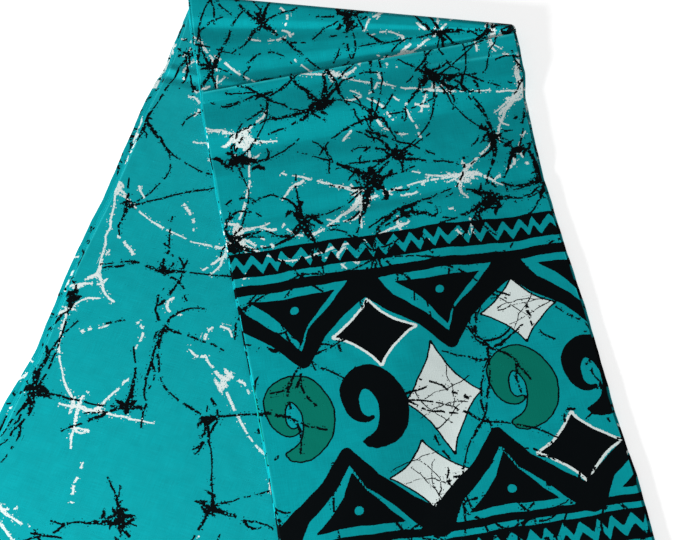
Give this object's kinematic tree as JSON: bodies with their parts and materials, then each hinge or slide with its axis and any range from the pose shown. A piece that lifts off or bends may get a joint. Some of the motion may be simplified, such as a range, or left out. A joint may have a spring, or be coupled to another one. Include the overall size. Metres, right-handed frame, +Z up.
{
  "type": "folded wax print fabric",
  "caption": "Length of printed cotton folded into a flat strip and turned over on itself, so that its two legs fan out on the table.",
  "frame": {"origin": "on the table, under the middle of the folded cloth's bounding box", "axes": "+Z up from the table, +Y towards the turned edge of the strip, +X to the right seen from the open ends"},
  "size_m": [0.5478, 0.6108, 0.0137],
  "materials": {
    "printed_cotton": "smooth, firm printed cotton, teal with black and white veins"
  },
  "bodies": {
    "root": {"hidden_layers": "printed_cotton", "lower_leg_face": "printed_cotton", "upper_leg_face": "printed_cotton"}
  },
  "joints": []
}
